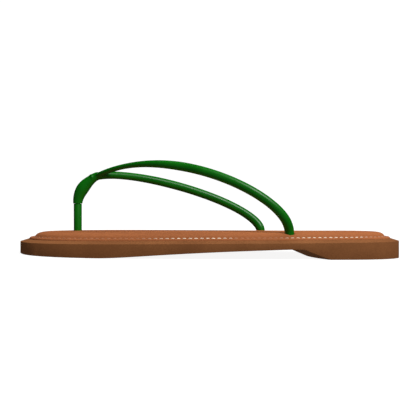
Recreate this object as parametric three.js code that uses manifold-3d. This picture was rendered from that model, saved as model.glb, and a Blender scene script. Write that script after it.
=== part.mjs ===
// A thong sandal (flip flop) for the left foot: moulded outsole with a low heel, stitched and
// padded footbed, and a Y strap held by three plugs under the sole.
// Millimetres, +Z up. The toe points to -X and the inner (medial) side of the foot is +Y.
//
// Everything is drawn in the sole's own frame: z = 0 is the top edge of the side wall, x = 0 is
// half way along the sole. The ground is a slightly tilted plane in that frame, because the heel
// is thicker than the forefoot. The last lines stand the finished sandal on level ground.

import * as THREE from 'three';
import { mergeVertices } from 'three/addons/utils/BufferGeometryUtils.js';
import Module from 'manifold-3d';

const wasm = await Module();
wasm.setup();

// ---- Clearances ----
const GAP = 0.3; // between pieces that touch
const OVERRUN = 5; // how far a cutting body runs past what it cuts

// ---- Sole, seen from above ----
const SOLE_LENGTH = 263.5;
const BALL_WIDTH = 85.5;
const BALL_SHIFT = -0.75; // middle of the ball, to the outer side
const HEEL_WIDTH = 60.6;
const TOE_TIP_SHIFT = 6; // the toe tip lies to the inner side
const BALL_FROM_TOE = 67; // toe tip to the widest place
const HEEL_SIDE_FROM_BACK = 44; // heel tip to the end of the heel's straight sides
const OUTER_TOE_CORNER = new THREE.Vector2(0.56, 0.375); // how far each curve's pull stops short
const INNER_TOE_CORNER = new THREE.Vector2(0.61, 0.35); // of a square corner, along and across,
const OUTER_HEEL_CORNER = new THREE.Vector2(0.63, 0.43); // in half widths of the ball or the heel
const INNER_HEEL_CORNER = new THREE.Vector2(0.56, 0.4);
const OUTER_HEEL_SLOPE = 0.16; // how fast the heel's sides widen forward
const INNER_HEEL_SLOPE = 0.02;
const OUTER_BALL_PULL = 48; // how far the side keeps to the ball's width, going back
const INNER_BALL_PULL = 45;
const OUTER_HEEL_PULL = 50; // how far the side keeps to the heel's slope, going forward
const INNER_HEEL_PULL = 57;
const OUTLINE_POINTS = 96;

// ---- Sole, seen from the side ----
const HEEL_HEIGHT = 11.4; // ground to wall top, at the back of the heel
const FOREFOOT_HEIGHT = 8.65; // ground to wall top, under the ball
const HEEL_CONTACT_FROM_BACK = 15;
const BALL_CONTACT_FROM_TOE = 52;
const TOE_SPRING = 0.5; // lift of the very tip
const TOE_SPRING_LENGTH = 20;
const ARCH_FROM_TOE = 60; // where the underside leaves the ground
const ARCH_FROM_BACK = 77; // where the arch meets the heel
const ARCH_HEIGHT = 6.5; // ground to underside, just before the heel
const ARCH_START_SHARE = 0.16; // share of the arch's length that stays close to the ground
const ARCH_RISE_SHARE = new THREE.Vector2(0.33, 0.66); // where it has made most of its rise
const HEEL_TREAD_LENGTH = 64.5; // heel tip to the front of the heel's ground face
const BREAST_RADIUS = 51; // the heel's front face bulges forward on this radius
const BREAST_RUN = 16; // how far the heel's front face slopes forward

// ---- Rim and seat of the outsole ----
const RIM_RUN = 5; // sloping rim, inward
const RIM_RISE = 1.5; // sloping rim, upward
const RIM_LAND = 0.4; // flat strip between the rim and the seat
const SEAT_DEPTH = 2; // seat for the footbed, below the rim's inner edge

// ---- Footbed ----
const BOARD_THICKNESS = 2;
const SKIN = 0.8;
const FLANGE_WIDTH = 3.9; // flat stitched edge of the skin
const FLANGE_EDGE = 0.6; // rounding of the flange's outer edge
const PAD_THICKNESS = 2.9;
const PAD_EDGE_RUN = 6.5; // rounded edge of the padded middle, inward
const MOUND_FOOT = 0.5; // upright strip below the rounded edge
const STITCH_FROM_MOUND = 1;
const THREAD_DIAMETER = 0.8;
const THREAD_ENDS_APART = 1;
const STITCH_CHANNEL_DEPTH = 0.4;

// ---- Strap ----
const POST_FROM_TOE = 37.9;
const POST_SHIFT = 3.3; // from the middle line, to the inner side
const POST_DIAMETER = 5.6;
const POST_HEIGHT = 19.6; // above the footbed
const SPIGOT_SHOULDER = 1.1; // step from the post in to its spigot, which sits inside the nose
const SPIGOT_LENGTH = 4;
const NOSE_LIP = 0.3; // how far the nose's lower end stands out round the post
const NOSE_DIAMETER = 8.6; // at the bend
const NOSE_SPLIT_DIAMETER = 5.8; // where the legs part
const NOSE_BEND_SHARE = 0.5; // share of the nose's length at its thickest place
const FORK_LENGTH = 9; // webbing between the legs, past where they part
const FORK_END_DIAMETER = 1;
const NOSE_FORWARD = new THREE.Vector3(12.8, 0, 19); // from the nose's lower end to where it splits
const NOSE_LIFT = 7.3; // stays upright for about this far
const NOSE_LEAN = new THREE.Vector3(-7.5, 0, -4.4); // direction it arrives from at the split
const LEG_DIAMETER = 6;
const LEG_ROOT = 4; // each leg starts this far inside the nose
const LEG_ROOT_WIDTH = 4.8;
const OUTER_LEG_FROM_BACK = 78.8;
const INNER_LEG_FROM_BACK = 94.2;
const OUTER_LEG_FROM_EDGE = 15.5;
const INNER_LEG_FROM_EDGE = 13.5;
const OUTER_LEG_LEAVES = new THREE.Vector3(50, -24, 23); // pull on the curve at the nose
const INNER_LEG_LEAVES = new THREE.Vector3(23.5, 10.7, 6.9);
const OUTER_LEG_ARRIVES = new THREE.Vector3(-11, -10, 28.3); // pull on the curve at the sole
const INNER_LEG_ARRIVES = new THREE.Vector3(-18, 8.4, 24.2);
const OUTER_LEG_FRONT_THICKNESS = 3; // each leg is pressed flatter next to the nose
const INNER_LEG_FRONT_THICKNESS = 5.2;
const FLAT_SHARE = 0.1; // share of a leg's length that is flattest
const FULL_ROUND_SHARE = 0.45; // share of its length from which it is fully round
const ANKLE_HEIGHT = 2.2; // height above the footbed of the bend into the upright stem
const ANKLE_BEND = 4; // length of that bend

// ---- Plugs under the sole ----
const PLUG_DIAMETER = 13;
const PLUG_THICKNESS = 1.8;
const ARCH_WEB = 1.6; // rubber left between the seat and the recesses in the arch

// ---- Fineness of the round shapes ----
const HOLE_SIDES = 24;
const STRAP_SIDES = 12;
const THREAD_SIDES = 6;
const LEG_STEPS = 44;
const NOSE_STEPS = 18;
const THREAD_STEPS = 110;
const PAD_EDGE_STEPS = 5;
const HEEL_SIDES = 128;
const ARCH_STEPS = 16;
const FLANGE_EDGE_STEPS = 2;
const RIM_STEPS = 1;

// ---- Places that follow from the sizes ----
const TOE_X = -SOLE_LENGTH / 2;
const HEEL_X = SOLE_LENGTH / 2;
const BALL_CONTACT_X = TOE_X + BALL_CONTACT_FROM_TOE;
const HEEL_CONTACT_X = HEEL_X - HEEL_CONTACT_FROM_BACK;
const GROUND_SLOPE = (HEEL_HEIGHT - FOREFOOT_HEIGHT) / (HEEL_CONTACT_X - BALL_CONTACT_X);
const GROUND_TILT = Math.atan(GROUND_SLOPE);
const GROUND_AT_MIDDLE = -HEEL_HEIGHT + HEEL_CONTACT_X * GROUND_SLOPE;

const SEAT_Z = RIM_RISE - SEAT_DEPTH;
const BOARD_BOTTOM = SEAT_Z + GAP;
const BOARD_TOP = BOARD_BOTTOM + BOARD_THICKNESS;
const FLANGE_TOP = BOARD_TOP + GAP + SKIN;
const PAD_BOTTOM = BOARD_TOP + GAP;
const PAD_TOP = PAD_BOTTOM + PAD_THICKNESS;
const FOOTBED_TOP = PAD_TOP + GAP + SKIN;

const SEAT_INSET = RIM_RUN + RIM_LAND;
const FLANGE_INSET = SEAT_INSET + GAP;
const BOARD_ROOM_INSET = FLANGE_INSET + SKIN;
const BOARD_INSET = BOARD_ROOM_INSET + GAP;
const MOUND_INSET = FLANGE_INSET + FLANGE_WIDTH;
const PAD_ROOM_INSET = MOUND_INSET + SKIN;
const PAD_INSET = PAD_ROOM_INSET + GAP;
const STITCH_INSET = MOUND_INSET - STITCH_FROM_MOUND;

const SPIGOT_DIAMETER = POST_DIAMETER - 2 * SPIGOT_SHOULDER;
const NOSE_LIP_DIAMETER = POST_DIAMETER + 2 * NOSE_LIP;
const HIGH_Z = FOOTBED_TOP + OVERRUN;
const LOW_Z = -HEEL_HEIGHT - 2 * OVERRUN;

// ---- Materials ----
const rubberBrown = finish(0x5a3820, 0.55);
const skinTan = finish(0xa9633d, 0.6);
const threadWhite = finish(0xf3ece0, 0.8);
const boardGrey = finish(0x8d8172, 0.9);
const foamCream = finish(0xe6dcc2, 0.95);
const strapGreen = finish(0x0a5a0c, 0.25);
const plugBrown = finish(0x33211a, 0.5);

function finish(color, roughness) {
  return new THREE.MeshStandardMaterial({ color, roughness, metalness: 0, flatShading: true });
}

// ---- From three.js geometry to a solid that can be cut, and back ----

function solidOf(geometry) {
  const bare = geometry.clone();
  bare.deleteAttribute('normal');
  bare.deleteAttribute('uv');
  const merged = mergeVertices(bare);
  return new wasm.Manifold(new wasm.Mesh({
    numProp: 3,
    vertProperties: new Float32Array(merged.attributes.position.array),
    triVerts: new Uint32Array(merged.index.array),
  }));
}

function geometryOf(solid) {
  const mesh = solid.getMesh();
  const geometry = new THREE.BufferGeometry();
  geometry.setAttribute('position', new THREE.BufferAttribute(new Float32Array(mesh.vertProperties), 3));
  geometry.setIndex(new THREE.BufferAttribute(new Uint32Array(mesh.triVerts), 1));
  geometry.computeVertexNormals();
  return geometry;
}

function upright(diameter, x, y, bottom, top) {
  const cylinder = new THREE.CylinderGeometry(diameter / 2, diameter / 2, top - bottom, HOLE_SIDES);
  cylinder.rotateX(Math.PI / 2);
  cylinder.translate(x, y, (bottom + top) / 2);
  return solidOf(cylinder);
}

// ---- Outline of the sole ----

// One smooth closed curve, counter-clockwise from the toe tip: down the outer side of the foot,
// round the heel and back up the inner side.
function soleCurve() {
  const outerBall = BALL_SHIFT - BALL_WIDTH / 2;
  const innerBall = BALL_SHIFT + BALL_WIDTH / 2;
  const heelHalf = HEEL_WIDTH / 2;
  const outerToe = OUTER_TOE_CORNER.clone().multiplyScalar(BALL_WIDTH / 2);
  const innerToe = INNER_TOE_CORNER.clone().multiplyScalar(BALL_WIDTH / 2);
  const outerHeel = OUTER_HEEL_CORNER.clone().multiplyScalar(heelHalf);
  const innerHeel = INNER_HEEL_CORNER.clone().multiplyScalar(heelHalf);
  const ballX = TOE_X + BALL_FROM_TOE;
  const heelSideX = HEEL_X - HEEL_SIDE_FROM_BACK;
  const shape = new THREE.Shape();
  shape.moveTo(TOE_X, TOE_TIP_SHIFT);
  shape.bezierCurveTo(
    TOE_X, outerBall + outerToe.y,
    TOE_X + outerToe.x, outerBall,
    ballX, outerBall,
  );
  shape.bezierCurveTo(
    ballX + OUTER_BALL_PULL, outerBall,
    heelSideX - OUTER_HEEL_PULL, -heelHalf - OUTER_HEEL_PULL * OUTER_HEEL_SLOPE,
    heelSideX, -heelHalf,
  );
  shape.bezierCurveTo(
    HEEL_X - outerHeel.x, -heelHalf + (HEEL_SIDE_FROM_BACK - outerHeel.x) * OUTER_HEEL_SLOPE,
    HEEL_X, -heelHalf + outerHeel.y,
    HEEL_X, 0,
  );
  shape.bezierCurveTo(
    HEEL_X, heelHalf - innerHeel.y,
    HEEL_X - innerHeel.x, heelHalf + (HEEL_SIDE_FROM_BACK - innerHeel.x) * INNER_HEEL_SLOPE,
    heelSideX, heelHalf,
  );
  shape.bezierCurveTo(
    heelSideX - INNER_HEEL_PULL, heelHalf - INNER_HEEL_PULL * INNER_HEEL_SLOPE,
    ballX + INNER_BALL_PULL, innerBall,
    ballX, innerBall,
  );
  shape.bezierCurveTo(
    TOE_X + innerToe.x, innerBall,
    TOE_X, innerBall - innerToe.y,
    TOE_X, TOE_TIP_SHIFT,
  );
  return shape;
}

const OUTLINE = soleCurve().getSpacedPoints(OUTLINE_POINTS).slice(0, -1);

// The outline moved inward by a distance, as a list of points.
function insetOutline(distance) {
  return OUTLINE.map((point, i) => {
    const before = OUTLINE[(i + OUTLINE.length - 1) % OUTLINE.length];
    const after = OUTLINE[(i + 1) % OUTLINE.length];
    const along = after.clone().sub(before).normalize();
    return new THREE.Vector2(point.x - along.y * distance, point.y + along.x * distance);
  });
}

// Where the outline crosses a given x, on the outer (-1) or inner (+1) side.
function edgeY(x, side) {
  const crossings = [];
  OUTLINE.forEach((point, i) => {
    const next = OUTLINE[(i + 1) % OUTLINE.length];
    if ((point.x - x) * (next.x - x) <= 0 && point.x !== next.x) {
      crossings.push(point.y + ((x - point.x) / (next.x - point.x)) * (next.y - point.y));
    }
  });
  return side * Math.max(...crossings.map((y) => side * y));
}

// A flat plate with the sole's outline, moved inward.
function plate(inset, bottom, top) {
  const shape = new THREE.Shape(insetOutline(inset));
  const geometry = new THREE.ExtrudeGeometry(shape, { depth: top - bottom, bevelEnabled: false });
  geometry.translate(0, 0, bottom);
  return solidOf(geometry);
}

// A plate whose top edge (and bottom edge, alike) falls away over run and rise.
function edgedPlate(inset, straight, top, run, rise, steps) {
  const geometry = new THREE.ExtrudeGeometry(new THREE.Shape(insetOutline(inset)), {
    depth: straight,
    bevelEnabled: true,
    bevelThickness: rise,
    bevelSize: run,
    bevelOffset: -run,
    bevelSegments: steps,
  });
  geometry.translate(0, 0, top - rise - straight);
  return solidOf(geometry);
}

// The rounded mound of the padded middle, as high as the pad is thick.
function mound(inset, top) {
  return edgedPlate(inset, MOUND_FOOT, top, PAD_EDGE_RUN, PAD_THICKNESS, PAD_EDGE_STEPS);
}

// ---- The ground, as seen from the sole's frame ----

function groundZ(x) {
  return GROUND_AT_MIDDLE - x * GROUND_SLOPE;
}

function fromGround(geometry) {
  geometry.rotateY(GROUND_TILT);
  geometry.translate(0, 0, GROUND_AT_MIDDLE);
  return solidOf(geometry);
}

// ---- Where the post and the legs go through the sole ----

function foothold(x, y, recessTop, diameter) {
  return { x, y, recessTop, diameter, plugBottom: recessTop - GAP - PLUG_THICKNESS };
}

const postX = TOE_X + POST_FROM_TOE;
const outerX = HEEL_X - OUTER_LEG_FROM_BACK;
const innerX = HEEL_X - INNER_LEG_FROM_BACK;
const outerY = edgeY(outerX, -1) + OUTER_LEG_FROM_EDGE;
const innerY = edgeY(innerX, 1) - INNER_LEG_FROM_EDGE;
const archRecessTop = SEAT_Z - ARCH_WEB;
const toeRecessTop = groundZ(postX) + GAP + PLUG_THICKNESS + GAP;

const toeHold = foothold(postX, POST_SHIFT, toeRecessTop, POST_DIAMETER);
const outerHold = foothold(outerX, outerY, archRecessTop, LEG_DIAMETER);
const innerHold = foothold(innerX, innerY, archRecessTop, LEG_DIAMETER);
const HOLDS = [toeHold, outerHold, innerHold];

function throughHole(hold) {
  return upright(hold.diameter + 2 * GAP, hold.x, hold.y, LOW_Z, HIGH_Z);
}

function pierced(solid) {
  return HOLDS.reduce((rest, hold) => rest.subtract(throughHole(hold)), solid);
}

// ---- Outsole ----

// Side view of everything above the underside, extruded across the sole.
function archedSlab() {
  const archX = TOE_X + ARCH_FROM_TOE;
  const archEndX = HEEL_X - ARCH_FROM_BACK;
  const span = archEndX - archX;
  const top = HEEL_HEIGHT + HIGH_Z;
  const width = 2 * BALL_WIDTH;
  const side = new THREE.Shape();
  side.moveTo(TOE_X - OVERRUN, top);
  side.lineTo(TOE_X - OVERRUN, TOE_SPRING);
  side.lineTo(TOE_X, TOE_SPRING);
  side.quadraticCurveTo(TOE_X + TOE_SPRING_LENGTH / 2, 0, TOE_X + TOE_SPRING_LENGTH, 0);
  side.lineTo(archX, 0);
  side.bezierCurveTo(
    archX + span * ARCH_START_SHARE, 0,
    archX + span * ARCH_RISE_SHARE.x, ARCH_HEIGHT * ARCH_RISE_SHARE.y,
    archEndX, ARCH_HEIGHT,
  );
  side.lineTo(HEEL_X + OVERRUN, ARCH_HEIGHT);
  side.lineTo(HEEL_X + OVERRUN, top);
  const geometry = new THREE.ExtrudeGeometry(side, {
    depth: width,
    bevelEnabled: false,
    curveSegments: ARCH_STEPS,
  });
  geometry.rotateX(Math.PI / 2);
  geometry.translate(0, width / 2, 0);
  return fromGround(geometry);
}

// The heel block is part of a cone, so its front face slopes and bulges forward.
function heelCone() {
  const height = ARCH_HEIGHT + OVERRUN / 2;
  const topRadius = BREAST_RADIUS + BREAST_RUN * (height / ARCH_HEIGHT);
  const cone = new THREE.CylinderGeometry(topRadius, BREAST_RADIUS, height, HEEL_SIDES);
  cone.rotateX(Math.PI / 2);
  cone.translate(HEEL_X - HEEL_TREAD_LENGTH + BREAST_RADIUS, 0, height / 2);
  return fromGround(cone);
}

function outsole() {
  const block = edgedPlate(0, -LOW_Z, RIM_RISE, RIM_RUN, RIM_RISE, RIM_STEPS);
  const moulded = block.intersect(archedSlab().add(heelCone()));
  const seated = moulded.subtract(plate(SEAT_INSET, SEAT_Z, HIGH_Z));
  const recessed = HOLDS.reduce((rest, hold) => rest.subtract(plugRecess(hold)), seated);
  return pierced(recessed);
}

function plugRecess(hold) {
  return upright(PLUG_DIAMETER + 2 * GAP, hold.x, hold.y, LOW_Z, hold.recessTop);
}

// ---- Footbed ----

function insoleBoard() {
  return pierced(plate(BOARD_INSET, BOARD_BOTTOM, BOARD_TOP));
}

function footbedPad() {
  const raised = mound(PAD_INSET, PAD_TOP);
  return pierced(raised.intersect(plate(0, PAD_BOTTOM, HIGH_Z)));
}

// The skin: a flange over the board's edge and a mound over the pad, open underneath.
function footbedCover() {
  const straight = FLANGE_TOP - BOARD_BOTTOM;
  const flange = edgedPlate(
    FLANGE_INSET, straight, FLANGE_TOP, FLANGE_EDGE, FLANGE_EDGE, FLANGE_EDGE_STEPS,
  );
  const outside = flange.add(mound(MOUND_INSET, FOOTBED_TOP)).intersect(plate(0, BOARD_BOTTOM, HIGH_Z));
  const boardRoom = plate(BOARD_ROOM_INSET, LOW_Z, BOARD_TOP + GAP);
  const room = boardRoom.add(mound(PAD_ROOM_INSET, PAD_TOP + GAP));
  return pierced(outside.subtract(room).subtract(stitchChannel()));
}

function stitchChannel() {
  const half = THREAD_DIAMETER / 2 + GAP;
  const bottom = FLANGE_TOP - STITCH_CHANNEL_DEPTH;
  const outer = plate(STITCH_INSET - half, bottom, FLANGE_TOP + GAP);
  const inner = plate(STITCH_INSET + half, bottom - OVERRUN, FLANGE_TOP + OVERRUN);
  return outer.subtract(inner);
}

function edgeStitching() {
  const z = FLANGE_TOP - STITCH_CHANNEL_DEPTH + GAP + THREAD_DIAMETER / 2;
  const points = insetOutline(STITCH_INSET).map((point) => new THREE.Vector3(point.x, point.y, z));
  const last = points[points.length - 1];
  const span = last.distanceTo(points[0]);
  points.push(last.clone().lerp(points[0], (span - THREAD_ENDS_APART) / span));
  return tube(new THREE.CatmullRomCurve3(points), THREAD_DIAMETER, THREAD_SIDES, THREAD_STEPS);
}

// ---- Strap ----

function tube(path, diameter, sides, steps) {
  const section = new THREE.Shape();
  section.absarc(0, 0, diameter / 2, 0, 2 * Math.PI, false);
  return new THREE.ExtrudeGeometry(section, {
    steps,
    curveSegments: sides / 2,
    extrudePath: path,
  });
}

const noseEnd = new THREE.Vector3(postX, POST_SHIFT, FOOTBED_TOP + POST_HEIGHT + GAP);
const split = noseEnd.clone().add(NOSE_FORWARD);

// Up from the post and over the bend, then on between the two legs.
function nosePath() {
  const lifted = noseEnd.clone();
  lifted.z += NOSE_LIFT;
  const between = OUTER_LEG_LEAVES.clone().normalize().add(INNER_LEG_LEAVES.clone().normalize());
  const forkEnd = split.clone().add(between.setLength(FORK_LENGTH));
  const path = new THREE.CurvePath();
  path.add(new THREE.CubicBezierCurve3(noseEnd, lifted, split.clone().add(NOSE_LEAN), split));
  path.add(new THREE.LineCurve3(split, forkEnd));
  return path;
}

// From inside the nose, over the foot, into an upright stem that ends in its plug.
function legPath(hold, leaves, arrives) {
  const footing = new THREE.Vector3(hold.x, hold.y, FOOTBED_TOP);
  const pullAtNose = split.clone().add(leaves);
  const pullAtSole = footing.clone().add(arrives);
  const ankle = footing.clone();
  ankle.z += ANKLE_HEIGHT;
  const aboveAnkle = ankle.clone().add(pullAtSole.clone().sub(ankle).setLength(ANKLE_BEND));
  const stemEnd = footing.clone();
  stemEnd.z = hold.plugBottom;
  const root = split.clone().sub(leaves.clone().setLength(LEG_ROOT));
  const path = new THREE.CurvePath();
  path.add(new THREE.LineCurve3(root, split));
  path.add(new THREE.CubicBezierCurve3(split, pullAtNose, pullAtSole, aboveAnkle));
  path.add(new THREE.QuadraticBezierCurve3(aboveAnkle, ankle, footing));
  path.add(new THREE.LineCurve3(footing, stemEnd));
  return path;
}

// A tube whose round section is stretched along x, y and z, as told for each share of its length.
function shapedTube(path, diameter, steps, stretchAt) {
  const geometry = tube(path, diameter, STRAP_SIDES, steps);
  const centres = path.getSpacedPoints(steps);
  const position = geometry.attributes.position;
  const vertex = new THREE.Vector3();
  for (let i = 0; i < position.count; i += 1) {
    vertex.fromBufferAttribute(position, i);
    const ring = nearestIndex(centres, vertex);
    vertex.sub(centres[ring]).multiply(stretchAt(ring / steps)).add(centres[ring]);
    position.setXYZ(i, vertex.x, vertex.y, vertex.z);
  }
  return solidOf(geometry);
}

function nearestIndex(points, target) {
  const distances = points.map((point) => point.distanceToSquared(target));
  return distances.indexOf(Math.min(...distances));
}

// A leg grows out of the nose, lies flatter over the front of the foot and ends fully round.
function leg(hold, leaves, arrives, frontThickness) {
  const path = legPath(hold, leaves, arrives);
  return shapedTube(path, LEG_DIAMETER, LEG_STEPS, (share) => {
    const grown = THREE.MathUtils.smoothstep(share, 0, FLAT_SHARE);
    const rounded = THREE.MathUtils.smoothstep(share, FLAT_SHARE, FULL_ROUND_SHARE);
    const width = THREE.MathUtils.lerp(LEG_ROOT_WIDTH, LEG_DIAMETER, grown);
    const thickness = THREE.MathUtils.lerp(frontThickness, LEG_DIAMETER, rounded);
    return new THREE.Vector3(width, width, Math.min(thickness, width)).divideScalar(LEG_DIAMETER);
  });
}

// The nose swells from its lip to the bend, narrows to where the legs part and tapers off there.
function nose() {
  const path = nosePath();
  const parted = 1 - FORK_LENGTH / path.getLength();
  const bend = NOSE_BEND_SHARE * parted;
  return shapedTube(path, NOSE_DIAMETER, NOSE_STEPS, (share) => {
    const swollen = THREE.MathUtils.smoothstep(share, 0, bend);
    const narrowed = THREE.MathUtils.smoothstep(share, bend, parted);
    const tapered = THREE.MathUtils.smoothstep(share, parted, 1);
    const below = THREE.MathUtils.lerp(NOSE_LIP_DIAMETER, NOSE_DIAMETER, swollen);
    const above = THREE.MathUtils.lerp(below, NOSE_SPLIT_DIAMETER, narrowed);
    const diameter = THREE.MathUtils.lerp(above, FORK_END_DIAMETER, tapered);
    return new THREE.Vector3().setScalar(diameter / NOSE_DIAMETER);
  });
}

function strapYoke() {
  const outerLeg = leg(outerHold, OUTER_LEG_LEAVES, OUTER_LEG_ARRIVES, OUTER_LEG_FRONT_THICKNESS);
  const innerLeg = leg(innerHold, INNER_LEG_LEAVES, INNER_LEG_ARRIVES, INNER_LEG_FRONT_THICKNESS);
  const socketTop = noseEnd.z + SPIGOT_LENGTH;
  const socket = upright(SPIGOT_DIAMETER + 2 * GAP, postX, POST_SHIFT, noseEnd.z - OVERRUN, socketTop);
  return nose().add(outerLeg).add(innerLeg).subtract(socket);
}

// A straight post that runs from its plug up to the nose, with a spigot inside the nose.
function toePost() {
  const top = FOOTBED_TOP + POST_HEIGHT;
  const shaft = upright(POST_DIAMETER, toeHold.x, toeHold.y, toeHold.plugBottom, top);
  const spigot = upright(SPIGOT_DIAMETER, toeHold.x, toeHold.y, top - OVERRUN, top + SPIGOT_LENGTH);
  return shaft.add(spigot);
}

function plug(hold) {
  const disc = upright(PLUG_DIAMETER, hold.x, hold.y, hold.plugBottom, hold.recessTop - GAP);
  return disc.subtract(throughHole(hold));
}

// ---- Assembly ----

const sandal = new THREE.Group();

function addPiece(name, geometry, material) {
  const mesh = new THREE.Mesh(geometry, material.clone());
  mesh.name = name;
  sandal.add(mesh);
}

addPiece('outsole', geometryOf(outsole()), rubberBrown);
addPiece('insole_board', geometryOf(insoleBoard()), boardGrey);
addPiece('footbed_pad', geometryOf(footbedPad()), foamCream);
addPiece('footbed_cover', geometryOf(footbedCover()), skinTan);
addPiece('edge_stitching', edgeStitching(), threadWhite);
addPiece('toe_post', geometryOf(toePost()), strapGreen);
addPiece('strap_yoke', geometryOf(strapYoke()), strapGreen);
addPiece('toe_plug', geometryOf(plug(toeHold)), plugBrown);
addPiece('outer_plug', geometryOf(plug(outerHold)), plugBrown);
addPiece('inner_plug', geometryOf(plug(innerHold)), plugBrown);

// Stand the sandal on level ground, with the middle of its footprint at the origin.
sandal.rotation.y = -GROUND_TILT;
sandal.updateMatrixWorld(true);
const bounds = new THREE.Box3().setFromObject(sandal, true);
const centre = bounds.getCenter(new THREE.Vector3());
sandal.position.set(-centre.x, -centre.y, -bounds.min.z);

export default sandal;
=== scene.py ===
import math

import bpy
import numpy as np
from bpy.props import FloatProperty, FloatVectorProperty, IntProperty, PointerProperty
from bpy.types import Operator, Panel, PropertyGroup
from mathutils import Matrix, Vector, geometry, kdtree


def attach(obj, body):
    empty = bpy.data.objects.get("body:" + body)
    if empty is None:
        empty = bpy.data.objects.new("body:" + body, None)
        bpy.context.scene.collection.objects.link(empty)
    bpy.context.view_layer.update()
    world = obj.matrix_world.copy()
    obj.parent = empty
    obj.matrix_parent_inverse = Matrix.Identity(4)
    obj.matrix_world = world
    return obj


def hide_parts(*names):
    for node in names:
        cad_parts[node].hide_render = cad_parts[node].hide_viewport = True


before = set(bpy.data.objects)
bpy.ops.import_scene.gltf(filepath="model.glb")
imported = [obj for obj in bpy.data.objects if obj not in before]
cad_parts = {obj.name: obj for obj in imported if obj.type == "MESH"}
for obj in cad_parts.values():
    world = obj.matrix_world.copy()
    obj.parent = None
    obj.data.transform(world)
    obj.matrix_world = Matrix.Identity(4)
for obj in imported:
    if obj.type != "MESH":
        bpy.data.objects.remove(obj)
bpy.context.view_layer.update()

bl_info = {
    "name": "Thong sandal",
    "version": (1, 0, 0),
    "blender": (4, 5, 0),
    "location": "View3D > Sidebar > Sandal",
    "description": "Models a flip flop with a stitched footbed and a Y strap, for the left foot",
    "category": "Add Mesh",
}

# The sandal is drawn in the sole's own frame: z = 0 is the top edge of the side wall, x = 0 is
# half way along the sole, the toe points to -X and the inner side of the foot is +Y. standing()
# gives the matrix that tilts it a little, so that the heel and the ball rest on level ground.

MM = 0.001
CLEARANCE = 0.3 * MM
OVERRUN = 5 * MM  # how far a cutting tool runs past what it cuts

# Corners of the outline: how far each curve's pull stops short of a square corner, along and
# across, in half widths of the ball or the heel.
OUTER_TOE_CORNER = Vector((0.56, 0.375))
INNER_TOE_CORNER = Vector((0.61, 0.35))
OUTER_HEEL_CORNER = Vector((0.63, 0.43))
INNER_HEEL_CORNER = Vector((0.56, 0.4))
OUTER_HEEL_SLOPE = 0.16  # how fast the heel's sides widen forward
INNER_HEEL_SLOPE = 0.02
OUTER_BALL_PULL = 48 * MM  # how far the sides keep to the ball's width, going back
INNER_BALL_PULL = 45 * MM
OUTER_HEEL_PULL = 50 * MM  # how far the sides keep to the heel's slope, going forward
INNER_HEEL_PULL = 57 * MM
OUTLINE_POINTS = 280
BEZIER_POINTS = 64

# Pulls on the strap's curves.
NOSE_FORWARD = Vector((12.8, 0, 19)) * MM
NOSE_LEAN = Vector((-7.5, 0, -4.4)) * MM
NOSE_LIFT = Vector((0, 0, 7.3)) * MM
OUTER_LEG_LEAVES = Vector((50, -24, 23)) * MM
INNER_LEG_LEAVES = Vector((23.5, 10.7, 6.9)) * MM
OUTER_LEG_ARRIVES = Vector((-11, -10, 28.3)) * MM
INNER_LEG_ARRIVES = Vector((-18, 8.4, 24.2)) * MM
LEG_ROOT = 4 * MM
ANKLE_BEND = 4 * MM

# Side view of the arch: the share of its length that stays low, and where it has nearly risen.
ARCH_START_SHARE = 0.16
ARCH_RISE_SHARE = Vector((0.36, 0.62))
ARCH_SKIP = 4  # only every fourth point of the arch's curve is used
SPRING_PULL = 0.1  # height of the toe spring's curve half way along, as a share of its lift
GROOVES_PAST_ARCH = 6  # tread grooves behind the place where the arch begins

# Shares of a leg's length over which it changes.
LEG_WIDENS = (0, 0.1)  # from its root to its full width
LEG_ROUNDS = (0.1, 0.45)  # from flat to fully round
LEG_FLARES = (0.78, 0.9)  # swelling towards the footbed
LEG_STEM = (0.06, 0.08)  # counted from its lower end, narrow again inside the sole
NOSE_BEND_SHARE = 0.5  # share of the nose's length at its thickest place
FORK_TIP = 0.5 * MM  # half thickness of the webbing's end

# Rounded edges and small steps.
RIM_EDGE = 0.12 * MM  # top of the sole's wall
MOULD_EDGE = 0.15 * MM  # edges of the cuts in the sole
POST_EDGE = 0.1 * MM
PLUG_EDGE = 0.3 * MM
PLUG_RING = 1.1 * MM  # raised ring of a button
PLUG_HOLLOW = 1 * MM  # sunk ring inside it
SAME_PLACE = 0.001 * MM  # vertices nearer than this are one

# How the cover is drawn down, as the widths of soft dents.
COVER_SHARE = 0.55  # thickness of the shaped cover as a share of the skin, clear of the board
SEAM_WIDTH = 0.55 * MM
NEEDLE_WIDTH = 0.6 * MM
PUCKER_WIDTH = 1.6 * MM
PUCKER_DEPTH = 0.12 * MM
DIMPLE_WIDTH = 2.2 * MM
SEAM_SHADE = 0.8  # painted shade in the sunk seam, as a share of that in a needle hole
# Width of the painted shade round each needle hole.
NEEDLE_SHADE_WIDTH = 0.8 * MM
CROWN_START = 0.6  # in widths of the mound's edge
CROWN_END = 4

STITCH_FULLNESS = 0.75  # below 1 a stitch keeps its thickness towards its ends
STITCH_DIP = 0.5  # drop of its ends, in half thicknesses

# How worn the thread is, from 0 to 1, at shares of the way from toe to heel.
THREAD_SPAN = 132 * MM
THREAD_WEAR = [
    (0.33, 1.0), (0.43, 0.0), (0.53, 0.0), (0.57, 1.0),
    (0.66, 1.0), (0.74, 0.0), (0.875, 0.0), (0.905, 0.85),
]

STRAP_LOSS = 0.12 * MM  # what smoothing takes off the strap all round
NOSE_TRIM = 1.2 * MM  # rough end of the nose that is cut off square

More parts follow.
